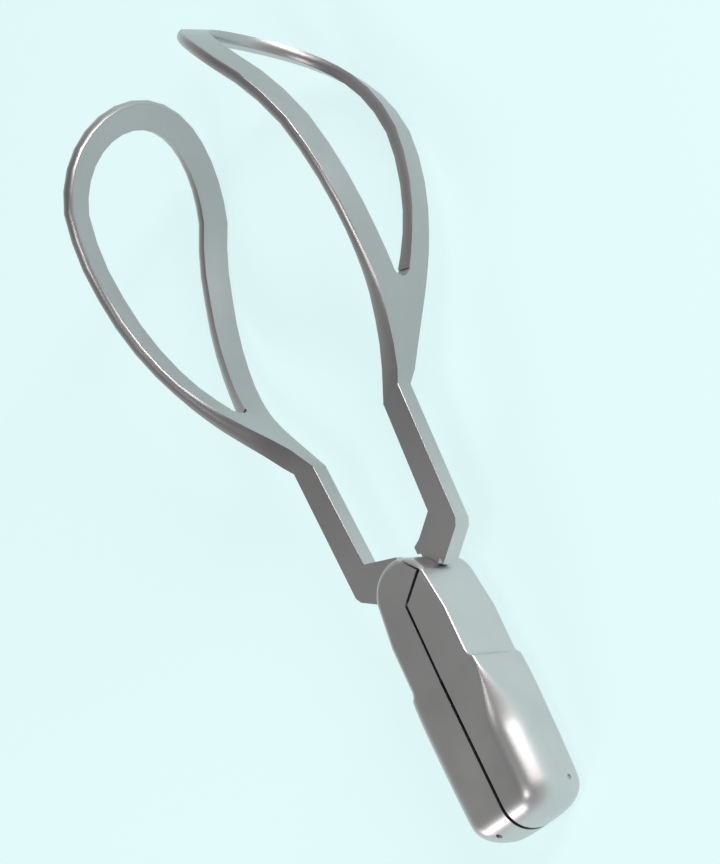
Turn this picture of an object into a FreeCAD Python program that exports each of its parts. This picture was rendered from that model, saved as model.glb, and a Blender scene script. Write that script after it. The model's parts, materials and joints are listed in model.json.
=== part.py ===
import FreeCAD, Part
import math
import os
import Sketcher
from FreeCAD import Placement, Rotation, Vector

# Obstetric forceps: two branches that cross in a lock, each with a fenestrated blade.
# Every piece is drawn in the instrument's own frame: X across, Y from the handle
# towards the blade tips, Z out of the front face, with zero at the bend of the seam.
# The whole instrument is then laid on its back, so that it rests on Z = 0.

doc = FreeCAD.newDocument("forceps")

# Driving dimensions, in millimetres and degrees
dimensions = {
    # lock block
    "lockHalfWidth": 13.7,
    "lockHalfDepth": 12.6,
    "lockTopRadius": 12.1,
    "lockTopCentre": 3.4,
    "lockHeadHalfWidth": 11.7,
    "lockRound": 2.6,
    "lockEdgeRound": 0.8,
    "taperFrom": -8.0,
    "flareFrom": -22.8,
    "flareRadius": 4.5,
    # seam between the branches
    "seamGap": 1.0,
    "seamSlope": 0.69,
    "noseReach": 10.3,
    "hornFoot": 4.5,
    "hornDrop": 1.2,
    "hornSlant": 1.5,
    "hornShift": 0.175,
    "cutBeyond": 2.0,
    "lapGap": 0.2,
    "swingRelief": 1.3,
    # bar and shank
    "barWidth": 13.0,
    "barFlare": 2.6,
    "barFoot": 13.0,
    "webSlope": 0.39,
    "webFoot": 3.0,
    "shankDepth": 6.4,
    "shankCorner": 1.6,
    "shankInnerLow": 16.2,
    "shankInnerHigh": 18.4,
    "shankOuterLow": 25.4,
    "shankOuterHigh": 27.4,
    "shankTop": 64.0,
    "shankEdge": 0.45,
    "shankRise": 0.1,
    # grip
    "gripHalfWidth": 17.0,
    "gripShoulder": 15.6,
    "gripFullAt": -51.0,
    "gripEnd": -73.0,
    "gripEndHalfWidth": 16.2,
    "gripCornerRadius": 10.0,
    "gripEndHalfDepth": 11.4,
    "gripShoulderRound": 3.6,
    "gripFullRound": 5.2,
    "gripBackRound": 3.2,
    "gripEndRound": 6.2,
    "gripEndBackRound": 9.5,
    "gripDomeRise": 6.2,
    "gripWall": 1.6,
    "plateThickness": 1.5,
    "fitGap": 0.05,
    # tang and its pin, vent plug
    "tangTopDepth": 9.0,
    "tangTopWidth": 8.0,
    "tangTipWidth": 5.0,
    "tangLength": 38.0,
    "tangOffset": 7.0,
    "pinRadius": 1.5,
    "pinPlay": 0.2,
    "pinAt": -46.0,
    "plugRadius": 0.8,
    "sidePlugAt": -70.4,
    "sidePlugHeight": 4.0,
    "endPlugAcross": -8.25,
    "endPlugHeight": 8.25,
    # blade
    "bladeBend": 32.0,
    "bladeHighRadius": 77.5,
    "bladeWidestAt": 145.0,
    "bladeHalfSpread": 53.5,
    "bladeRootThickness": 7.4,
    "bladeLimbThickness": 4.0,
    "thinFrom": 52.0,
    "bladeCupRadius": 125.0,
    "outerEdgeRise": 0.9,
    "innerEdgeRise": 0.5,
    "limbWidth": 10.6,
    "forkFrom": 40.3,
    "forkHalfWidth": 14.1,
    "forkFlare": 0.385,
    "forkRadius": 4.2,
    "loopFrom": 124.0,
    "loopHalfWidth": 37.1,
    "loopLength": 42.3,
    "tipLift": 2.6,
    "liftFrom": 93.0,
    "bladeTwist": 1.1,
    "twistFrom": 45.0,
    "bladeSetBack": 1.1,
    "setBackFrom": 12.0,
    "mitreRise": 1.3,
    # how the instrument lies
    "restTilt": 5.4,
}

sheet = doc.addObject("Spreadsheet::Sheet", "Dims")
for row, (name, number) in enumerate(dimensions.items(), start=1):
    sheet.set("A%d" % row, name)
    sheet.set("B%d" % row, str(number))
    sheet.setAlias("B%d" % row, name)
doc.recompute()


class Size:
    """A length with its value and the expression that ties it to the sheet."""

    def __init__(self, value, text):
        self.value = value
        self.text = text

    def join(self, other, sign, value):
        text = other.text if isinstance(other, Size) else repr(float(other))
        return Size(value, "(%s %s %s)" % (self.text, sign, text))

    def __add__(self, other):
        return self.join(other, "+", self.value + number(other))

    def __sub__(self, other):
        return self.join(other, "-", self.value - number(other))

    def __mul__(self, other):
        return self.join(other, "*", self.value * number(other))

    def __truediv__(self, other):
        return self.join(other, "/", self.value / number(other))

    def __neg__(self):
        return Size(-self.value, "(0 - %s)" % self.text)

    def __radd__(self, other):
        return self + other

    def __rmul__(self, other):
        return self * other

    def __rsub__(self, other):
        return -self + other


def number(thing):
    return thing.value if isinstance(thing, Size) else float(thing)


def size(name):
    """The named cell of the sheet."""
    return Size(float(sheet.get(name)), "Dims." + name)


def smaller(first, second):
    return first if first.value < second.value else second


def root(thing):
    return Size(math.sqrt(thing.value), "sqrt(%s)" % thing.text)


zero = Size(0.0, "0")


class Arc:
    """The next side of an outline is an arc of this radius; left or right of the way."""

    def __init__(self, radius, turn):
        self.radius = radius
        self.turn = turn


def arcMiddle(start, end, radius, turn):
    """The middle of the shorter arc from start to end, turning left (1) or right (-1)."""
    chord = end - start
    half = chord.Length / 2
    sag = radius - math.sqrt(max(radius * radius - half * half, 0.0))
    side = Vector(chord.y, -chord.x, 0).normalize()
    return (start + end) / 2 + side * sag * turn


def drawOutline(sketch, steps):
    """Closed outline of lines and arcs, each corner tied to the sheet."""
    corners = [step for step in steps if not isinstance(step, Arc)]
    arcs = {}
    count = -1
    for step in steps:
        if isinstance(step, Arc):
            arcs[count] = step
        else:
            count += 1
    edges = []
    for place, corner in enumerate(corners):
        start = Vector(corner[0].value, corner[1].value, 0)
        following = corners[(place + 1) % len(corners)]
        end = Vector(following[0].value, following[1].value, 0)
        if place in arcs:
            middle = arcMiddle(start, end, arcs[place].radius.value, arcs[place].turn)
            edge = sketch.addGeometry(Part.Arc(start, middle, end))
            flipped = sketch.Geometry[edge].StartPoint.distanceToPoint(start) > 1e-6
        else:
            edge = sketch.addGeometry(Part.LineSegment(start, end))
            flipped = False
        edges.append((edge, flipped))
    for place, (edge, flipped) in enumerate(edges):
        following, followingFlipped = edges[(place + 1) % len(edges)]
        sketch.addConstraint(
            Sketcher.Constraint(
                "Coincident", edge, 1 if flipped else 2, following, 2 if followingFlipped else 1
            )
        )
    for place, (edge, flipped) in enumerate(edges):
        point = 2 if flipped else 1
        for kind, coordinate in (("DistanceX", 0), ("DistanceY", 1)):
            wanted = corners[place][coordinate]
            made = sketch.addConstraint(
                Sketcher.Constraint(kind, -1, 1, edge, point, wanted.value)
            )
            sketch.setExpression("Constraints[%d]" % made, wanted.text)
        if place in arcs:
            made = sketch.addConstraint(
                Sketcher.Constraint("Radius", edge, arcs[place].radius.value)
            )
            sketch.setExpression("Constraints[%d]" % made, arcs[place].radius.text)


def newBody(label):
    body = doc.addObject("PartDesign::Body", label)
    body.Label = label
    return body


def newSketch(body, name, plane, lift=zero):
    """A sketch on one of the body's own origin planes, lifted along the plane's normal."""
    sketch = body.newObject("Sketcher::SketchObject", name)
    support = [part for part in body.Origin.OriginFeatures if part.Role == plane][0]
    sketch.AttachmentSupport = (support, "")
    sketch.MapMode = "FlatFace"
    sketch.AttachmentOffset = Placement(Vector(0, 0, lift.value), Rotation())
    sketch.setExpression(".AttachmentOffset.Base.z", lift.text)
    return sketch


def pad(body, name, sketch, length, backwards=False, bothWays=False):
    feature = body.newObject("PartDesign::Pad", name)
    feature.Profile = sketch
    feature.Length = length.value
    feature.setExpression("Length", length.text)
    feature.Reversed = backwards
    feature.Midplane = bothWays
    return feature


def pocket(body, name, sketch, length, backwards=False, bothWays=False):
    """Cuts the sketch out and makes sure that the cut took something away."""
    doc.recompute()
    before = body.Tip.Shape.Volume
    feature = body.newObject("PartDesign::Pocket", name)
    feature.Profile = sketch
    feature.Length = length.value
    feature.setExpression("Length", length.text)
    feature.Reversed = backwards
    feature.Midplane = bothWays
    doc.recompute()
    if feature.Shape.Volume > before - 1e-6:
        raise ValueError(name + " cuts nothing away")
    return feature


# Shared lines of the lock, for the branch whose handle half lies on the left
seamHalf = size("seamGap") / 2
slope = size("seamSlope")
slant = root(slope * slope + 1)
lapHalf = size("lapGap") / 2
halfShank = size("shankDepth") / 2
farOut = size("gripHalfWidth") * 2
headTop = size("lockTopCentre") + size("lockTopRadius")
lockDepth = size("lockHalfDepth")


def seamLine(x, side):
    """Height of the slanted seam at x; side 1 is the nose's edge, -1 the socket's."""
    return slope * x + slant * seamHalf * side


def barTop(x):
    return slope * x + size("barWidth")


def drawCircle(sketch, across, up, radius):
    made = sketch.addGeometry(
        Part.Circle(Vector(across.value, up.value, 0), Vector(0, 0, 1), radius.value)
    )
    for kind, wanted in (("DistanceX", across), ("DistanceY", up)):
        bound = sketch.addConstraint(Sketcher.Constraint(kind, -1, 1, made, 3, wanted.value))
        sketch.setExpression("Constraints[%d]" % bound, wanted.text)
    bound = sketch.addConstraint(Sketcher.Constraint("Radius", made, radius.value))
    sketch.setExpression("Constraints[%d]" % bound, radius.text)


def roundEdges(body, name, radius, wanted):
    doc.recompute()
    base = body.Tip
    picked = ["Edge%d" % (n + 1) for n, edge in enumerate(base.Shape.Edges) if wanted(edge)]
    feature = body.newObject("PartDesign::Fillet", name)
    feature.Base = (base, picked)
    feature.Radius = radius.value
    feature.setExpression("Radius", radius.text)
    doc.recompute()
    return feature


def onDepth(edge, depth):
    return all(abs(abs(v.Z) - depth) < 1e-4 for v in edge.Vertexes)


def halfSection(body, name, y, halfWidth, halfDepth, frontRound, backRound, inner=seamHalf):
    """Left half of a rounded rectangle across the handle, at height y."""
    sketch = newSketch(body, name, "XZ_Plane", -y)
    drawOutline(sketch, [
        (-inner, -halfDepth),
        (-inner, halfDepth),
        (frontRound - halfWidth, halfDepth), Arc(frontRound, 1),
        (-halfWidth, halfDepth - frontRound),
        (-halfWidth, backRound - halfDepth), Arc(backRound, 1),
        (backRound - halfWidth, -halfDepth),
    ])
    return sketch


def loft(body, name, sections, kind="PartDesign::AdditiveLoft"):
    feature = body.newObject(kind, name)
    feature.Profile = sections[0]
    feature.Sections = sections[1:]
    feature.Ruled = True
    doc.recompute()
    return feature


def onFlank(line):
    """Whether an edge runs along one of the lock's two flanks."""
    head = size("lockHeadHalfWidth").value
    return line.Length > head and all(abs(v.X) > head - 1e-3 for v in line.Vertexes)


def softFlank(line):
    """Whether an edge is the front left or the back right one, which are well rounded."""
    return onFlank(line) and all(v.X * v.Z < 0 for v in line.Vertexes)


def flareTurn():
    """How far the flank's arc turns before it meets the grip's shoulder."""
    swell = size("gripShoulder") - size("lockHalfWidth")
    return math.acos(1 - swell.value / size("flareRadius").value)


def gripTop():
    """Height at which the forging ends and the grip begins."""
    radius = size("flareRadius")
    swell = radius - (size("gripShoulder") - size("lockHalfWidth"))
    return size("flareFrom") - root(radius * radius - swell * swell)


def makeLock(label):
    """Half of the lock block with its nose, horn, bar, shank and tang, in one forging."""
    body = newBody(label)
    side = size("lockHalfWidth")
    low = size("flareFrom")
    radius = size("lockTopRadius")
    centre = size("lockTopCentre")
    head = size("lockHeadHalfWidth")
    headFoot = centre + root(radius * radius - head * head)

    # both halves' block, tapering towards its round head
    sketch = newSketch(body, "lockFace", "XY_Plane")
    drawOutline(sketch, [
        (head, headFoot), Arc(radius, 1),
        (zero, headTop), Arc(radius, 1),
        (-head, headFoot),
        (-side, size("taperFrom")),
        (-side, low),
        (side, low),
        (side, size("taperFrom")),
    ])
    pad(body, "block", sketch, lockDepth * 2, bothWays=True)
    roundEdges(
        body, "softRound", size("lockRound"),
        lambda line: onDepth(line, lockDepth.value)
        and (min(v.Y for v in line.Vertexes) > centre.value or softFlank(line)),
    )
    roundEdges(
        body, "sideRound", size("lockEdgeRound"),
        lambda line: onDepth(line, lockDepth.value) and onFlank(line),
    )
    through = farOut * 2
    beyond = size("cutBeyond")

    # right of the seam, below its slanted part, all belongs to the other half
    sketch = newSketch(body, "seamFace", "XY_Plane")
    drawOutline(sketch, [
        (-seamHalf, low - beyond),
        (farOut, low - beyond),
        (farOut, seamLine(farOut, 1)),
        (-seamHalf, seamLine(-seamHalf, 1)),
    ])
    pocket(body, "seam", sketch, through, bothWays=True)

    # in front of the bar and right of the nose stands the other half's horn
    reach = size("noseReach")
    foot = size("hornFoot")
    hornTip = headTop - size("hornDrop")
    shift = size("hornShift")
    lean = size("hornSlant")
    sketch = newSketch(body, "hornFace", "XY_Plane", halfShank)
    drawOutline(sketch, [
        (reach - shift, seamLine(reach, 0) - shift),
        (farOut, seamLine(reach, 0) - shift),
        (farOut, headTop + beyond),
        (foot - lean - shift, headTop + beyond),
        (foot - shift, hornTip - shift),
    ])
    pocket(body, "hornSocket", sketch, lockDepth, backwards=True)

    # behind the lap plane only the flank below the other half's bar stays
    sketch = newSketch(body, "lapFace", "XY_Plane", lapHalf)
    drawOutline(sketch, [
        (-seamHalf, low - beyond),
        (farOut, low - beyond),
        (farOut, headTop + beyond),
        (-farOut, headTop + beyond),
        (-farOut, seamLine(farOut, -1)),
        (-seamHalf, seamLine(seamHalf, -1)),
    ])
    pocket(body, "barSocket", sketch, halfShank + lapHalf * 3)
    # further back this half keeps its own horn over the other half's bar
    sketch = newSketch(body, "backFace", "XY_Plane", -(halfShank + lapHalf * 2))
    drawOutline(sketch, [
        (-seamHalf, low - beyond),
        (farOut, low - beyond),
        (farOut, headTop + beyond),
        (lean - foot - shift, headTop + beyond),
        (-foot - shift, hornTip + shift),
        (-reach - shift, seamLine(reach, 0) + shift),
        (-reach - shift, seamLine(reach, -1)),
        (-seamHalf, seamLine(seamHalf, -1)),
    ])
    pocket(body, "noseSocket", sketch, lockDepth)

    # the flank flares out to the grip's shoulder
    flank = []
    for place in range(5):
        part = place / 4
        turn = flareTurn() * part
        y = low - size("flareRadius") * math.sin(turn)
        half = side + size("flareRadius") * (1 - math.cos(turn))
        soft = size("lockRound") + (size("gripShoulderRound") - size("lockRound")) * part
        flank.append(halfSection(
            body, "flank%d" % place, y, half, lockDepth, soft, size("lockEdgeRound")
        ))
    loft(body, "flankFlare", flank)

    # bar and shank: half as deep where the two bars cross, whole beyond the block
    inside = side / 2
    innerLow = size("shankInnerLow")
    outerLow = size("shankOuterLow")
    corner = size("shankCorner")
    flare = size("barFlare")
    barFoot = size("barFoot")
    elbow = seamLine(outerLow, 1) - flare
    bar = [
        (inside, seamLine(inside, 1)),
        (barFoot, seamLine(barFoot, 1)),
        (barFoot, seamLine(barFoot, 1) - flare),
        (outerLow - corner, elbow - slope * corner),
        (outerLow, elbow + corner),
        (size("shankOuterHigh"), size("shankTop") + size("mitreRise")),
        (size("shankInnerHigh"), size("shankTop") - size("mitreRise")),
        (innerLow, barTop(innerLow)),
    ]
    webFoot = size("webFoot")
    web = [
        (webFoot, barTop(innerLow) - size("webSlope") * (innerLow - webFoot)),
        (webFoot, centre),
        (inside, centre),
    ]
    sketch = newSketch(body, "barBackFace", "XY_Plane", -halfShank)
    drawOutline(sketch, bar + web)
    pad(body, "barBack", sketch, halfShank + lapHalf)
    grown = radius + size("swingRelief")
    sketch = newSketch(body, "reliefFace", "XY_Plane", lapHalf)
    drawOutline(sketch, [
        (grown, centre), Arc(grown, 1),
        (zero, centre + grown),
        (zero, zero),
        (grown, zero),
    ])
    pocket(body, "swingRelief", sketch, halfShank + lapHalf * 2)
    sketch = newSketch(body, "barFrontFace", "XY_Plane", lapHalf)
    drawOutline(sketch, bar + [(inside, barTop(inside))])
    pad(body, "barFront", sketch, halfShank - lapHalf)
    doc.recompute()
    roundEdges(
        body, "shankRound", size("shankEdge"),
        lambda line: onDepth(line, halfShank.value)
        and min(v.X for v in line.Vertexes) > side.value + beyond.value / 2
        and line.Length > size("shankOuterHigh").value / 2,
    )

    # the tang runs down inside the grip
    end = gripTop()
    offset = size("tangOffset")
    wide = size("tangTopWidth") / 2
    narrow = size("tangTipWidth") / 2
    tip = end - size("tangLength")
    sketch = newSketch(body, "tangFace", "XY_Plane")
    drawOutline(sketch, [
        (-offset - wide, end),
        (-offset - narrow, tip),
        (-offset + narrow, tip),
        (-offset + wide, end),
    ])
    pad(body, "tang", sketch, size("tangTopDepth"), bothWays=True)
    sketch = newSketch(body, "pinHoleFace", "YZ_Plane")
    drawCircle(sketch, size("pinAt"), zero, size("pinRadius") + size("fitGap"))
    pocket(body, "pinHole", sketch, offset + wide)
    return body


def gripStation(y):
    """Half width, half depth, front rounding and back rounding of the grip at y."""
    top = gripTop()
    full = size("gripFullAt")
    end = size("gripEnd")
    widest = size("gripHalfWidth")
    depth = lockDepth + (size("gripEndHalfDepth") - lockDepth) * (y - top) / (end - top)
    atFull = size("gripFullRound")
    atBack = size("gripBackRound")
    if y.value > full.value:
        part = (y - full) / (top - full)
        front = atFull + (size("gripShoulderRound") - atFull) * part
        back = atBack + (size("lockEdgeRound") - atBack) * part
        other = size("gripShoulder")
    else:
        part = (y - full) / (end - full)
        front = atFull + (size("gripEndRound") - atFull) * part
        back = atBack + (size("gripEndBackRound") - atBack) * part
        other = size("gripEndHalfWidth")
    half = widest - (widest - other) * part * part
    corner = size("gripCornerRadius")
    below = corner - (y - end + size("gripDomeRise"))
    if below.value > 0:
        half = half - corner + root(corner * corner - below * below)
    return half, depth, front, back


# share of the dome's half depth that its roundings may take up
domeShare = 0.93
# the hollow's roundings against the grip's front ones
insideShare = 0.6


def makeGrip(label, ventAtSide):
    """Hollow half-round grip, open towards the seam, with its vent hole."""
    body = newBody(label)
    wall = size("gripWall")
    top = gripTop()
    full = size("gripFullAt")
    end = size("gripEnd")
    dome = size("gripDomeRise")
    crown = end - dome
    depth = size("gripEndHalfDepth")
    domeRadius = (depth * depth + dome * dome) / (dome * 2)
    corner = size("gripCornerRadius")
    endHalf = size("gripEndHalfWidth")

    # barrel: widest at the palm, its roundings growing towards the end
    outside = []
    for part in (0.0, 0.25, 0.5, 0.75):
        y = top + (full - top) * part
        outside.append(halfSection(body, "upper%d" % (part * 100), y, *gripStation(y)))
    for part in (0.0, 0.25, 0.5, 0.75, 0.9, 1.0):
        y = full + (end - full) * part
        outside.append(halfSection(body, "lower%d" % (part * 100), y, *gripStation(y)))
    # domed end, whose corners are rounded too
    edge = math.asin(depth.value / domeRadius.value)
    for part in (0.8, 0.6, 0.4, 0.22, 0.1):
        turn = edge * part
        y = crown + domeRadius * (1 - math.cos(turn))
        down = root(corner * corner - (corner - y + crown) * (corner - y + crown))
        deep = domeRadius * math.sin(turn)
        outside.append(halfSection(
            body, "dome%d" % (part * 100), y, endHalf - corner + down, deep,
            smaller(size("gripEndRound"), deep * domeShare),
            smaller(size("gripEndBackRound"), deep * domeShare),
        ))
    loft(body, "barrel", outside)

    inside = []
    for place, y in enumerate((top, size("pinAt"), full, end)):
        half, deep, front, back = gripStation(y)
        inside.append(halfSection(
            body, "inside%d" % place, y, half - wall, deep - wall,
            front * insideShare, front * insideShare,
        ))
    loft(body, "hollow", inside, "PartDesign::SubtractiveLoft")

    plug = size("plugRadius") + size("fitGap")
    if ventAtSide:
        sketch = newSketch(body, "ventFace", "YZ_Plane", -endHalf * 1.1)
        drawCircle(sketch, size("sidePlugAt"), size("sidePlugHeight"), plug)
        pocket(body, "vent", sketch, endHalf / 2, backwards=True)
    else:
        sketch = newSketch(body, "ventFace", "XZ_Plane", -crown)
        drawCircle(sketch, size("endPlugAcross"), size("endPlugHeight"), plug)
        pocket(body, "vent", sketch, dome * 2)
    return body


def makePlate(label):
    """Flat inner plate that closes the grip along the seam."""
    body = newBody(label)
    gap = size("fitGap")
    wall = size("gripWall")
    sketch = newSketch(body, "plateFace", "YZ_Plane", -seamHalf)
    top = gripTop() - gap
    end = size("gripEnd") + gap
    drawOutline(sketch, [
        (top, wall + gap - lockDepth),
        (top, lockDepth - wall - gap),
        (end, size("gripEndHalfDepth") - wall - gap),
        (end, wall + gap - size("gripEndHalfDepth")),
    ])
    pad(body, "plate", sketch, size("plateThickness"), backwards=True)
    return body


def bladePath(along):
    """Point, outward normal and direction of the blade's middle line in the XY plane."""
    bend = math.radians(size("bladeBend").value)
    high = size("bladeHighRadius").value
    widestAt = size("bladeWidestAt").value
    spread = size("bladeHalfSpread").value
    top = size("shankTop").value
    sideways = spread - (size("shankOuterHigh").value + size("shankInnerHigh").value) / 2
    upwards = widestAt - top
    low = upwards * math.sin(bend) - sideways * math.cos(bend)
    low = low / (1 - math.cos(bend))
    foot = Vector(spread - low + low * math.cos(bend), widestAt - low * math.sin(bend), 0)
    straight = (foot.y - top) / math.cos(bend)
    widest = straight + low * bend
    if along < straight:
        lean = bend
        lead = straight - along
        point = foot - Vector(math.sin(bend), math.cos(bend), 0) * lead
    else:
        radius = low if along < widest else high
        lean = (widest - along) / radius
        centre = Vector(spread - radius, widestAt, 0)
        point = centre + Vector(math.cos(lean), -math.sin(lean), 0) * radius
    normal = Vector(math.cos(lean), -math.sin(lean), 0)
    return point, normal


def onBlade(along, across):
    """Point and normal of the blade's cupped and slightly twisted middle surface."""
    point, normal = bladePath(along)
    cup = size("bladeCupRadius").value
    turn = across / cup
    begin = size("twistFrom").value
    part = min(max((along - begin) / (size("loopFrom").value - begin), 0.0), 1.0)
    twist = size("bladeTwist").value * part * across / size("loopHalfWidth").value
    point = point + normal * (twist - cup * (1 - math.cos(turn)))
    point = point + Vector(0, 0, cup * math.sin(turn) + bladeLift(along))
    return point, normal * math.cos(turn) + Vector(0, 0, math.sin(turn))


def bladeThickness(along):
    thinned = min(along / size("thinFrom").value, 1.0)
    root = size("bladeRootThickness").value
    return root + (size("bladeLimbThickness").value - root) * thinned


def limbFrame(inner, outer):
    """Middle frame of a limb's section between two places (along, across) on the surface."""
    start = onBlade(*inner)[0]
    end = onBlade(*outer)[0]
    across = (end - start).normalize()
    middle = onBlade((inner[0] + outer[0]) / 2, (inner[1] + outer[1]) / 2)[1]
    normal = (middle - across * middle.dot(across)).normalize()
    return start, end, across, normal


def straightEdge(start, end):
    return Part.LineSegment(start, end).toShape()


def roundedEdge(start, end, outward, rise):
    """Arc over the blade's thickness that stands out by rise."""
    return Part.Arc(start, (start + end) / 2 + outward * rise, end).toShape()


def limbSection(inner, outer, forkShare):
    """Flat section of one limb with rounded edges, the fork's being the flattest."""
    start, end, across, normal = limbFrame(inner, outer)
    front = normal * bladeThickness((inner[0] + outer[0]) / 2) / 2
    outerRise = size("outerEdgeRise").value
    innerRise = size("innerEdgeRise").value * forkShare
    start = start + across * innerRise
    end = end - across * outerRise
    return Part.Wire([
        straightEdge(start + front, end + front),
        roundedEdge(end + front, end - front, across, outerRise),
        straightEdge(end - front, start - front),
        roundedEdge(start - front, start + front, -across, innerRise),
    ])


def rootSection(along, halfWidth, rise, mitre=None):
    """Section of the unforked root, with corners where the limbs will begin."""
    inner = halfWidth * (1 - size("limbWidth").value / size("forkHalfWidth").value)
    half = bladeThickness(along) / 2
    points = []
    for side in (1, -1):
        start, end, across, normal = limbFrame((along, side * inner), (along, side * halfWidth))
        if mitre:
            middle, half = mitre
            across = Vector(0, 0, side)
            start = middle + across * inner
            end = middle + across * halfWidth
            normal = mitreNormal()
        end = end - across * rise
        front = normal * half
        points.append((start + front, end + front, end - front, start - front, across))
    left, right = points
    return Part.Wire([
        straightEdge(left[0], left[1]),
        roundedEdge(left[1], left[2], left[4], rise),
        straightEdge(left[2], left[3]),
        straightEdge(left[3], right[3]),
        straightEdge(right[3], right[2]),
        roundedEdge(right[2], right[1], right[4], rise),
        straightEdge(right[1], right[0]),
        straightEdge(right[0], left[0]),
    ])


def mitreNormal():
    """Direction across the shank's mitred top."""
    width = size("shankOuterHigh") - size("shankInnerHigh")
    return Vector(width.value, 2 * size("mitreRise").value, 0).normalize()


def outerHalfWidth(along):
    """Half the width over both limbs, from the fork to where the loop closes."""
    fork = size("forkFrom").value
    begin = size("forkHalfWidth").value
    flare = size("forkFlare").value
    reach = size("loopFrom").value - fork
    fall = (flare - (size("loopHalfWidth").value - begin) / reach) / reach
    step = along - fork
    return begin + flare * step - fall * step * step


def bladeLift(along):
    """How far the blade stands behind the shank, and its tip before it."""
    back = size("bladeSetBack").value
    behind = back * min(along / size("setBackFrom").value, 1.0)
    start = size("liftFrom").value
    length = size("loopFrom").value + size("loopLength").value - start
    part = min(max((along - start) / length, 0.0), 1.0)
    return (size("tipLift").value + back) * math.sin(math.pi / 2 * part) - behind


def makeBladeRoot(name):
    """The root from the shank's top to the fork, widening as it thins."""
    fork = size("forkFrom").value
    foot = size("shankDepth").value / 2
    head = size("forkHalfWidth").value
    power = size("forkFlare").value * fork / (head - foot)
    small = size("shankRise").value
    big = size("outerEdgeRise").value
    middle = Vector(
        (size("shankOuterHigh").value + size("shankInnerHigh").value) / 2, size("shankTop").value, 0
    )
    width = size("shankOuterHigh").value - size("shankInnerHigh").value
    halfMitre = math.hypot(width / 2, size("mitreRise").value)
    wires = [rootSection(0.0, foot, small, (middle, halfMitre))]
    for part in (0.2, 0.4, 0.6, 0.8, 0.9, 1.0):
        wires.append(rootSection(
            fork * part, foot + (head - foot) * part ** power, small + (big - small) * part
        ))
    feature = doc.addObject("Part::Feature", name)
    feature.Shape = Part.makeLoft(wires, True, True)
    return feature


# share of the full rounding that the limbs' inner edges have at the fork
forkRoundShare = 0.25


def makeBladeLoop(name):
    """Both limbs and the rounded end, one rounded section led round the loop."""
    width = size("limbWidth").value
    fork = size("forkFrom").value
    turnFrom = size("loopFrom").value
    outerAcross = size("loopHalfWidth").value
    outerAlong = size("loopLength").value
    front = []
    for part in (0.0, 0.06, 0.15, 0.25, 0.37, 0.5, 0.63, 0.76, 0.88):
        along = fork + (turnFrom - fork) * part
        outer = outerHalfWidth(along)
        growth = min(forkRoundShare + part * 3, 1.0)
        front.append(((along, outer - width), (along, outer), growth))
    for degrees in (0, 11.25, 22.5, 33.75, 45, 56.25, 67.5, 78.75, 90):
        turn = math.radians(degrees)
        places = []
        for less in (width, 0.0):
            places.append((
                turnFrom + (outerAlong - less) * math.sin(turn),
                (outerAcross - less) * math.cos(turn),
            ))
        front.append((places[0], places[1], 1.0))
    back = [
        ((inner[0], -inner[1]), (outer[0], -outer[1]), growth)
        for inner, outer, growth in reversed(front[:-1])
    ]
    wires = []
    for inner, outer, growth in front + back:
        wires.append(limbSection(inner, outer, growth))
    feature = doc.addObject("Part::Feature", name)
    feature.Shape = Part.makeLoft(wires, True, True)
    return feature


def makeBlade(name):
    root = makeBladeRoot(name + "Root")
    loop = makeBladeLoop(name + "Loop")
    fork = size("forkFrom").value
    flare = math.atan(size("forkFlare").value)
    radius = size("forkRadius").value
    point, normal = onBlade(fork + radius * math.sin(flare), 0.0)
    cutter = doc.addObject("Part::Cylinder", name + "ForkCutter")
    cutter.Radius = radius
    cutter.setExpression("Radius", "Dims.forkRadius")
    cutter.setExpression("Height", "Dims.bladeRootThickness * 3")
    below = size("bladeRootThickness").value * 1.5
    cutter.Placement = Placement(point - normal * below, Rotation(Vector(0, 0, 1), normal))
    forked = doc.addObject("Part::Cut", name + "Forked")
    forked.Base = root
    forked.Tool = cutter
    blade = doc.addObject("Part::Fuse", name)
    blade.Base = forked
    blade.Tool = loop
    doc.recompute()
    return blade


def makeFuse(label, base, tool):
    joined = doc.addObject("Part::Fuse", label)
    joined.Label = label
    joined.Base = base
    joined.Tool = tool
    return joined


def makePeg(label, radius, length, start, direction):
    """Round pin or plug from its start point along a direction."""
    peg = doc.addObject("Part::Cylinder", label)
    peg.Label = label
    peg.Radius = radius.value
    peg.setExpression("Radius", radius.text)
    peg.Height = length.value
    peg.setExpression("Height", length.text)
    peg.Placement = Placement(start, Rotation(Vector(0, 0, 1), direction))
    return peg


def makeTangPin(label):
    """Cross pin through the tang, between the inner plate and the grip's side wall."""
    gap = size("fitGap")
    inner = seamHalf + size("plateThickness") + gap
    outer = gripStation(size("pinAt"))[0] - size("gripWall") - size("pinPlay")
    start = Vector(-inner.value, size("pinAt").value, 0)
    return makePeg(label, size("pinRadius"), outer - inner, start, Vector(-1, 0, 0))


def makeSidePlug(label):
    """Plug in the side wall, flush with it outside."""
    wall = size("gripWall")
    at = size("sidePlugAt")
    start = Vector(-gripStation(at)[0].value, at.value, size("sidePlugHeight").value)
    return makePeg(label, size("plugRadius"), wall, start, Vector(1, 0, 0))


def makeEndPlug(label):
    """Plug in the domed end, let in as deep as its hole's lower lip."""
    depth = size("gripEndHalfDepth")
    dome = size("gripDomeRise")
    radius = (depth * depth + dome * dome) / (dome * 2)
    lip = size("endPlugHeight") + size("plugRadius") + size("fitGap")
    sunk = radius - root(radius * radius - lip * lip)
    length = dome - sunk
    start = Vector(
        size("endPlugAcross").value,
        (size("gripEnd") - length).value,
        size("endPlugHeight").value,
    )
    return makePeg(label, size("plugRadius"), length, start, Vector(0, 1, 0))


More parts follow.
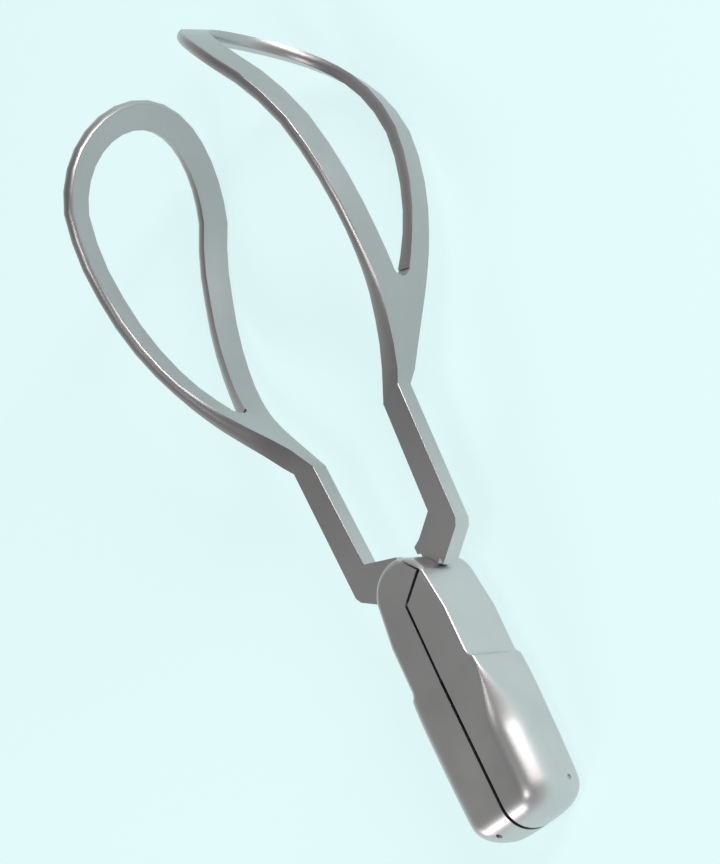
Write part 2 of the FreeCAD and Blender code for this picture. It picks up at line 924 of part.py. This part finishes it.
# Both branches: the second lock half is the first turned about Y, its blade is a mirror
blade = makeBlade("rightBlade")
mirrored = doc.addObject("Part::Mirroring", "leftBlade")
mirrored.Source = blade
mirrored.Normal = Vector(1, 0, 0)
turned = Placement(Vector(0, 0, 0), Rotation(Vector(0, 1, 0), 180))
rightLock = makeLock("rightBladeLock")
leftLock = makeLock("leftBladeLock")
leftLock.Placement = turned

upright = {
    makeFuse("right_blade_branch", rightLock, blade): Placement(),
    makeFuse("left_blade_branch", leftLock, mirrored): Placement(),
    makeGrip("left_grip", False): Placement(),
    makeGrip("right_grip", True): turned,
    makePlate("left_grip_plate"): Placement(),
    makePlate("right_grip_plate"): turned,
    makeTangPin("left_tang_pin"): Placement(),
    makeTangPin("right_tang_pin"): turned,
    makeEndPlug("left_vent_plug"): Placement(),
    makeSidePlug("right_vent_plug"): turned,
}
doc.recompute()

# Lay it on its back, on the blades' rear limbs and the handle's end
tilt = Placement(Vector(0, 0, 0), Rotation(Vector(1, 0, 0), size("restTilt").value))
for piece, place in upright.items():
    piece.Placement = tilt * place * piece.Placement
doc.recompute()
whole = Part.Compound([piece.Shape for piece in upright]).optimalBoundingBox(True)
drop = Placement(
    Vector(-(whole.XMin + whole.XMax) / 2, -(whole.YMin + whole.YMax) / 2, -whole.ZMin), Rotation()
)
for piece in upright:
    piece.Placement = drop * piece.Placement
doc.recompute()

os.makedirs("parts", exist_ok=True)
for item in doc.Objects:
    if "Invalid" in item.State or "Error" in item.State:
        raise ValueError(item.Name + " did not build")
for piece in upright:
    shape = piece.Shape
    if shape.isNull() or not shape.isValid() or len(shape.Solids) != 1:
        raise ValueError(piece.Label + " is not one sound solid")
    shape.exportStep("parts/%s.step" % piece.Label)
    print(piece.Label, round(shape.Volume, 1), shape.optimalBoundingBox())
print("moved by", drop.Base)
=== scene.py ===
import bmesh
import bpy
import json
import math
from mathutils import Matrix, Vector


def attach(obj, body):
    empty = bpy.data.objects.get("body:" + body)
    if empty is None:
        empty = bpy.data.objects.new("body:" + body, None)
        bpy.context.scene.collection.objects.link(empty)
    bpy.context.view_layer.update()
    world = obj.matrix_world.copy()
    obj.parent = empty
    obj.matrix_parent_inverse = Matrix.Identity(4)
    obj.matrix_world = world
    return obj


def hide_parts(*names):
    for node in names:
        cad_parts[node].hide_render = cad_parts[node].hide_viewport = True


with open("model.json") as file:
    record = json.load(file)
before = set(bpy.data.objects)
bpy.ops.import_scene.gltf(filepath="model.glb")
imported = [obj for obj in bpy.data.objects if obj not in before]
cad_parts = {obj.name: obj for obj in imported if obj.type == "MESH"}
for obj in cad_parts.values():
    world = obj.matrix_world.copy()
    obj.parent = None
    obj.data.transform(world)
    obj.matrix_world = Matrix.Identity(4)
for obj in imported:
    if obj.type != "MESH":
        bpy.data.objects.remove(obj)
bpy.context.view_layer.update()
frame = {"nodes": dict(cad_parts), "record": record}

# How the instrument lies: tilted back about X from its upright drawing, then set down
lie = {"tilt": math.radians(5.4), "moved": Vector((0, -0.0657914, 0.0186678))}

def turned(v):
    return Matrix.Rotation(lie["tilt"], 3, "X") @ Vector(v)


def uprightHeight(v):
    # how far along the handle's own axis a point of the laid instrument is
    return (Matrix.Rotation(-lie["tilt"], 3, "X") @ (v - lie["moved"])).y


def newMaterial(name):
    material = bpy.data.materials.new(name)
    material.use_nodes = True
    nodes = material.node_tree.nodes
    return material, nodes, material.node_tree.links, nodes["Principled BSDF"]


# Satin steel, by piece: base colour, roughness range, roughness clouds per metre, and
# how much darker the blades are painted than the lock, a painted shade for their dimmer
# reflections
finishes = {
    "blades": {
        # the last value is a painted shade: the blades' colour darkened towards the tips
        "colour": (0.625, 0.596, 0.592), "roughness": (0.28, 0.40), "clouds": 40, "paintedShade": 0.76,
    },
    "grips": {"colour": (0.625, 0.596, 0.592), "roughness": (0.30, 0.42), "clouds": 55},
    "plates": {"colour": (0.22, 0.21, 0.21), "roughness": (0.45, 0.6), "clouds": 80},
    "fittings": {"colour": (0.46, 0.44, 0.43), "roughness": (0.36, 0.48), "clouds": 120},
}

# What all the steels share: the clouds' contrast, the fine grain under them, and where
# along the laid instrument the blades' painted shade comes in
steelDetail = {
    "cloudDetail": 5,
    "darkestAt": 0.3,
    "lightestAt": 0.7,
    "darkest": 0.93,
    "grain": 1800,
    "grainDetail": 2,
    "grainStrength": 0.05,
    "grainDepth": 0.0002,
    "shadeFrom": -0.055,
    "shadeTo": -0.005,
}

finishOf = {
    "left_blade_branch": "blades",
    "right_blade_branch": "blades",
    "left_grip": "grips",
    "right_grip": "grips",
    "left_grip_plate": "plates",
    "right_grip_plate": "plates",
    "left_tang_pin": "fittings",
    "right_tang_pin": "fittings",
    "left_vent_plug": "fittings",
    "right_vent_plug": "fittings",
}


def makeSteel(name, colour, roughness, clouds, paintedShade=1.0):
    # cloudy satin: roughness and tone wander together, over a very fine grain
    detail = steelDetail
    material, nodes, links, shader = newMaterial(name)
    shader.inputs["Metallic"].default_value = 1.0
    place = nodes.new("ShaderNodeTexCoord")
    cloud = nodes.new("ShaderNodeTexNoise")
    cloud.inputs["Scale"].default_value = clouds
    cloud.inputs["Detail"].default_value = detail["cloudDetail"]
    links.new(place.outputs["Object"], cloud.inputs["Vector"])
    spread = nodes.new("ShaderNodeMapRange")
    spread.inputs["To Min"].default_value = roughness[0]
    spread.inputs["To Max"].default_value = roughness[1]
    links.new(cloud.outputs["Fac"], spread.inputs["Value"])
    links.new(spread.outputs["Result"], shader.inputs["Roughness"])
    tone = nodes.new("ShaderNodeValToRGB")
    dark, light = tone.color_ramp.elements
    dark.position, light.position = detail["darkestAt"], detail["lightestAt"]
    dark.color = [part * detail["darkest"] for part in colour] + [1]
    light.color = list(colour) + [1]
    links.new(cloud.outputs["Fac"], tone.inputs["Fac"])
    finish = tone.outputs["Color"]
    if paintedShade < 1:
        # painted shade: darker from the shanks outwards, standing in for the dimmer
        # reflections on the blades
        axes = nodes.new("ShaderNodeSeparateXYZ")
        links.new(place.outputs["Object"], axes.inputs["Vector"])
        reach = nodes.new("ShaderNodeMapRange")
        reach.inputs["From Min"].default_value = detail["shadeFrom"]
        reach.inputs["From Max"].default_value = detail["shadeTo"]
        links.new(axes.outputs["Y"], reach.inputs["Value"])
        shadeRamp = nodes.new("ShaderNodeValToRGB")
        shadeRamp.color_ramp.elements[0].color = (1, 1, 1, 1)
        shadeRamp.color_ramp.elements[1].color = (paintedShade, paintedShade, paintedShade, 1)
        links.new(reach.outputs["Result"], shadeRamp.inputs["Fac"])
        both = nodes.new("ShaderNodeMix")
        both.data_type = "RGBA"
        both.blend_type = "MULTIPLY"
        both.inputs["Factor"].default_value = 1.0
        links.new(finish, both.inputs[6])       # colour A
        links.new(shadeRamp.outputs["Color"], both.inputs[7])       # colour B
        finish = both.outputs[2]       # the mixed colour
    links.new(finish, shader.inputs["Base Color"])
    grain = nodes.new("ShaderNodeTexNoise")
    grain.inputs["Scale"].default_value = detail["grain"]
    grain.inputs["Detail"].default_value = detail["grainDetail"]
    links.new(place.outputs["Object"], grain.inputs["Vector"])
    bump = nodes.new("ShaderNodeBump")
    bump.inputs["Strength"].default_value = detail["grainStrength"]
    bump.inputs["Distance"].default_value = detail["grainDepth"]
    links.new(grain.outputs["Fac"], bump.inputs["Height"])
    links.new(bump.outputs["Normal"], shader.inputs["Normal"])
    return material


# How each solid is finished: edges up to smoothAngle are shaded smooth, and edges
# over sharpAngle are broken by a narrow bevel, except short ones and where grip and
# forging meet
edging = {
    "mergeDistance": 0.000002,
    "flatAngle": math.radians(0.6),
    "smoothAngle": math.radians(28),
    "sharpAngle": math.radians(48),
    "bevelWidth": 0.00022,
    "bevelSegments": 2,
    "shortEdge": 0.0007,
    "jointWidth": 0.0006,
    "faceWeight": 80,
}


def breakEdges(piece):
    # a narrow bevel along the sharp edges, which catches the light as a fine line
    shape = bmesh.new()
    shape.from_mesh(piece.data)
    weights = shape.edges.layers.float.new("bevel_weight_edge")
    for edge in shape.edges:
        if not edge.is_manifold or edge.calc_face_angle() < edging["sharpAngle"]:
            continue
        if edge.calc_length() < edging["shortEdge"]:
            continue
        ends = [uprightHeight(corner.co) for corner in edge.verts]
        if all(abs(end - jointHeight) < edging["jointWidth"] for end in ends):
            continue
        edge[weights] = 1.0
    shape.to_mesh(piece.data)
    shape.free()
    bevel = piece.modifiers.new("brokenEdges", "BEVEL")
    bevel.limit_method = "WEIGHT"
    bevel.width = edging["bevelWidth"]
    bevel.segments = edging["bevelSegments"]


def finishPiece(piece, node, body):
    # break the edges, shade the rounded faces smooth and let the piece ride
    if finishOf[node] != "fittings":
        breakEdges(piece)
    bpy.ops.object.shade_smooth_by_angle(angle=edging["smoothAngle"])
    if node not in gripSides:
        weighted = piece.modifiers.new("faceWeights", "WEIGHTED_NORMAL")
        weighted.keep_sharp = True
        weighted.weight = edging["faceWeight"]
    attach(piece, body)
    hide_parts(node)


# Half-round grip, in the upright frame; heights run down the handle
gripShell = {
    "around": 48,
    "barrelRings": 30,
    "capRings": 16,
    "palm": -0.051,
    "capFrom": -0.0700,
    "cornerFrom": -0.0685,
    "end": -0.0791,
    "halfWidth": 0.0170,
    "shoulder": 0.0156,
    "endHalfWidth": 0.0162,
    "corner": 0.0095,
    "cornerPower": 2.2,
    "capPower": 2.3,
    "jointDepth": 0.0126,
    "endDepth": 0.0113,
    "roundingLength": 0.024,
    "flatShare": 0.36,
    "arcShare": 0.76,
    "crown": 0.035,
    "leastFlat": 0.002,
    "depthShare": 0.97,
    "seam": 0.0006,
    "wall": 0.0016,
    "boreRadius": 0.00085,
    "boreLength": 0.006,
    "boreSides": 24,
    "mergeDistance": 0.00001,
}

# Each grip's roundings, across and down: where it begins, then at its full section
gripSides = {
    "right_grip": {
        "side": 1,
        "front": ((0.0008, 0.0008), (0.0085, 0.0115)),
        "back": ((0.0036, 0.0036), (0.0045, 0.0045)),
        "bore": {"place": (0.0160, -0.0704, -0.0040), "along": "X"},
    },
    "left_grip": {
        "side": -1,
        "front": ((0.0036, 0.0036), (0.0045, 0.0045)),
        "back": ((0.0008, 0.0008), (0.0085, 0.0115)),
        "bore": {"place": (-0.00825, -0.0765, 0.00825), "along": "Y"},
    },
}


def gripHalfWidth(height):
    # widest at the palm, a little narrower at the shoulder and at the end
    grip = gripShell
    if height > grip["palm"]:
        part = (height - grip["palm"]) / (jointHeight - grip["palm"])
        return grip["halfWidth"] - (grip["halfWidth"] - grip["shoulder"]) * part ** 2
    part = (height - grip["palm"]) / (grip["end"] - grip["palm"])
    return grip["halfWidth"] - (grip["halfWidth"] - grip["endHalfWidth"]) * part ** 2


def gripRing(step):
    # height, half width and half depth of one ring, the last ones closing the end
    grip = gripShell
    barrel = grip["barrelRings"]
    if step <= barrel:
        height = jointHeight + (grip["capFrom"] - jointHeight) * step / barrel
        closed = 1.0
    else:
        turn = math.pi / 2 * (step - barrel) / grip["capRings"]
        bend = 2 / grip["capPower"]
        height = grip["capFrom"] - (grip["capFrom"] - grip["end"]) * math.sin(turn) ** bend
        closed = max(math.cos(turn), 0.0) ** bend
    along = (jointHeight - height) / (jointHeight - grip["end"])
    depth = grip["jointDepth"] + (grip["endDepth"] - grip["jointDepth"]) * along
    half = gripHalfWidth(height)
    low = (grip["cornerFrom"] - height) / (grip["cornerFrom"] - grip["end"])
    if low > 0:
        power = grip["cornerPower"]
        half -= grip["corner"] * (1 - (1 - min(low, 1.0) ** power) ** (1 / power))
    return height, half, depth * closed


def gripPoint(around, height, half, depth, rounding):
    # one point of a ring, led from the seam's front edge round to its back edge
    grip = gripShell
    grown = min((jointHeight - height) / grip["roundingLength"], 1.0)
    grown = grown * grown * (3 - 2 * grown)
    front = 1 if around < 0.5 else -1
    first, full = rounding["front" if front > 0 else "back"]
    reach, drop = [small + (large - small) * grown for small, large in zip(first, full)]
    reach = min(reach, half - grip["seam"] - grip["leastFlat"])
    drop = min(drop, depth * grip["depthShare"])
    part = min(around, 1 - around) * 2
    flatShare, arcShare = grip["flatShare"], grip["arcShare"]
    if part < flatShare:
        across = grip["seam"] + (half - reach - grip["seam"]) * part / flatShare
        up = depth
    elif part < arcShare:
        turn = math.pi / 2 * (part - flatShare) / (arcShare - flatShare)
        across = half - reach + reach * math.sin(turn)
        up = depth - drop + drop * math.cos(turn)
    else:
        across = half
        up = (depth - drop) * (1 - part) / (1 - arcShare)
    up -= grip["crown"] * grown * up * (across - grip["seam"]) ** 2 / half ** 2
    return across, up * front


def selectOnly(piece):
    bpy.ops.object.select_all(action="DESELECT")
    piece.select_set(True)
    bpy.context.view_layer.objects.active = piece


def boreVent(piece, place, along):
    # drill the vent hole that the plug sits in, along X or Y of the upright frame
    grip = gripShell
    bpy.ops.object.select_all(action="DESELECT")
    bpy.ops.mesh.primitive_cylinder_add(
        vertices=grip["boreSides"], radius=grip["boreRadius"], depth=grip["boreLength"])
    drill = bpy.context.object
    lay = Matrix.Rotation(math.pi / 2, 3, "Y" if along == "X" else "X")
    for corner in drill.data.vertices:
        corner.co = turned(lay @ corner.co + Vector(place)) + lie["moved"]
    hole = piece.modifiers.new("hole", "BOOLEAN")
    hole.object = drill
    hole.operation = "DIFFERENCE"
    hole.solver = "EXACT"
    selectOnly(piece)
    bpy.ops.object.modifier_apply(modifier="hole")
    bpy.data.objects.remove(drill)


def makeGripShell(node, material, body, rounding):
    # a grid wrapped round the grip, given its wall, then bored over the vent plug
    grip = gripShell
    side = rounding["side"]
    rings = grip["barrelRings"] + grip["capRings"]
    bpy.ops.object.select_all(action="DESELECT")
    bpy.ops.mesh.primitive_grid_add(
        x_subdivisions=grip["around"], y_subdivisions=rings, size=1)
    piece = bpy.context.object
    piece.name = node + "_shell"
    for corner in piece.data.vertices:
        around = min(max(corner.co.x + 0.5, 0.0), 1.0)
        height, half, depth = gripRing(round((0.5 - corner.co.y) * rings))
        across, up = gripPoint(around, height, half, depth, rounding)
        corner.co = turned((across * side, height, up)) + lie["moved"]
    bpy.ops.object.mode_set(mode="EDIT")
    bpy.ops.mesh.select_all(action="SELECT")
    bpy.ops.mesh.remove_doubles(threshold=grip["mergeDistance"])
    bpy.ops.mesh.normals_make_consistent(inside=False)
    bpy.ops.object.mode_set(mode="OBJECT")
    outward = sum(face.normal.x * side * face.area for face in piece.data.polygons)
    if outward < 0:
        bpy.ops.object.mode_set(mode="EDIT")
        bpy.ops.mesh.flip_normals()
        bpy.ops.object.mode_set(mode="OBJECT")
    wall = piece.modifiers.new("wall", "SOLIDIFY")
    wall.thickness = grip["wall"]
    wall.offset = -1
    bpy.ops.object.modifier_apply(modifier="wall")
    boreVent(piece, **rounding["bore"])
    piece.data.materials.append(material)
    finishPiece(piece, node, body)


def dress(node, material, body):
    # the drawn solid, merged and smoothed, stands for the node
    source = frame["nodes"][node]
    copy = source.copy()
    copy.data = source.data.copy()
    copy.name = node + "_steel"
    copy.parent = None
    for key in list(copy.keys()):
        del copy[key]
    bpy.context.scene.collection.objects.link(copy)
    selectOnly(copy)
    copy.data.materials.clear()
    copy.data.materials.append(material)
    bpy.ops.object.mode_set(mode="EDIT")
    bpy.ops.mesh.select_all(action="SELECT")
    bpy.ops.mesh.remove_doubles(threshold=edging["mergeDistance"])
    bpy.ops.mesh.dissolve_limited(angle_limit=edging["flatAngle"])
    bpy.ops.object.mode_set(mode="OBJECT")
    finishPiece(copy, node, body)


# Pale floor, with a glow of its own, under a sky that is darker overhead
stage = {
    "floorSize": 6.0,
    "floorColour": (0.24, 0.30, 0.30, 1),
    "floorGlow": (0.69, 0.86, 0.86, 1),
    "floorGlowStrength": 0.87,
    "floorRoughness": 0.9,
    "floorSpecular": 0.1,
    "horizonColour": (0.66, 0.68, 0.68, 1),
    "zenithColour": (0.175, 0.19, 0.19, 1),
}


def makeFloor():
    bpy.ops.mesh.primitive_plane_add(size=stage["floorSize"], location=(0, 0, 0))
    floor = bpy.context.object
    floor.name = "floor"
    material, nodes, links, shader = newMaterial("paleFloor")
    shader.inputs["Base Color"].default_value = stage["floorColour"]
    shader.inputs["Roughness"].default_value = stage["floorRoughness"]
    shader.inputs["Specular IOR Level"].default_value = stage["floorSpecular"]
    shader.inputs["Emission Color"].default_value = stage["floorGlow"]
    shader.inputs["Emission Strength"].default_value = stage["floorGlowStrength"]
    floor.data.materials.append(material)


def makeSky():
    world = bpy.data.worlds.new("studio")
    bpy.context.scene.world = world
    world.use_nodes = True
    back = world.node_tree.nodes["Background"]
    # lightest at the horizon, as in a studio with a dark ceiling
    nodes, links = world.node_tree.nodes, world.node_tree.links
    place = nodes.new("ShaderNodeTexCoord")
    axes = nodes.new("ShaderNodeSeparateXYZ")
    ramp = nodes.new("ShaderNodeValToRGB")
    ramp.color_ramp.elements[0].color = stage["horizonColour"]
    ramp.color_ramp.elements[1].color = stage["zenithColour"]
    links.new(place.outputs["Object"], axes.inputs["Vector"])
    links.new(axes.outputs["Z"], ramp.inputs["Fac"])
    links.new(ramp.outputs["Color"], back.inputs["Color"])


# Softboxes, by direction in the upright frame
lights = {
    "cornerBox": {
        "towards": (0.86, 0.30, 0.36), "distance": 1.2, "size": (0.26, 0.9), "power": 6.0,
    },
    "topBox": {
        "towards": (0.12, -0.30, 0.95), "distance": 1.3, "size": (0.35, 0.35), "power": 2.0,
    },
    "endBox": {
        "towards": (-0.58, -0.60, 0.55), "distance": 1.2, "size": (0.7, 0.28), "power": 3.0,
    },
}


def makeLight(name, towards, distance, size, power):
    data = bpy.data.lights.new(name, "AREA")
    data.shape = "RECTANGLE"
    data.size, data.size_y = size
    data.energy = power
    light = bpy.data.objects.new(name, data)
    bpy.context.scene.collection.objects.link(light)
    direction = turned(towards).normalized()
    light.location = direction * distance
    light.rotation_euler = direction.to_track_quat("Z", "Y").to_euler()


# The photograph's viewpoint, in the upright frame, metres; lens and sensor in mm
camera = {
    "place": Vector((0.5396, -0.2748, 0.6847)),
    "right": Vector((0.61841, -0.39501, -0.67939)),
    "up": Vector((0.53541, 0.84452, -0.00371)),
    "lens": 120.46,
    "sensor": 36,
}


def makeCamera():
    data = bpy.data.cameras.new("photoCamera")
    data.lens = camera["lens"]
    data.sensor_width = camera["sensor"]
    lens = bpy.data.objects.new("photoCamera", data)
    bpy.context.scene.collection.objects.link(lens)
    back = camera["right"].cross(camera["up"])
    axes = Matrix((turned(camera["right"]), turned(camera["up"]), turned(back))).transposed()
    place = turned(camera["place"]) + lie["moved"]
    lens.matrix_world = Matrix.Translation(place) @ axes.to_4x4()
    bpy.context.scene.camera = lens


# where the forgings end and the grips begin
gripMesh = frame["nodes"]["left_grip"].data
jointHeight = max(uprightHeight(corner.co) for corner in gripMesh.vertices)
steels = {name: makeSteel(name + "Steel", **values) for name, values in finishes.items()}
for body, members in frame["record"]["behaviour"]["bodies"].items():
    for node in members:
        if node in gripSides:
            makeGripShell(node, steels["grips"], body, gripSides[node])
        else:
            dress(node, steels[finishOf[node]], body)
print("dressed the steel")
makeFloor()
makeSky()
print("laid the floor and the sky")
for name, values in lights.items():
    makeLight(name, **values)
makeCamera()
print("set the lights and the camera")
bpy.context.scene.view_settings.view_transform = "Standard"
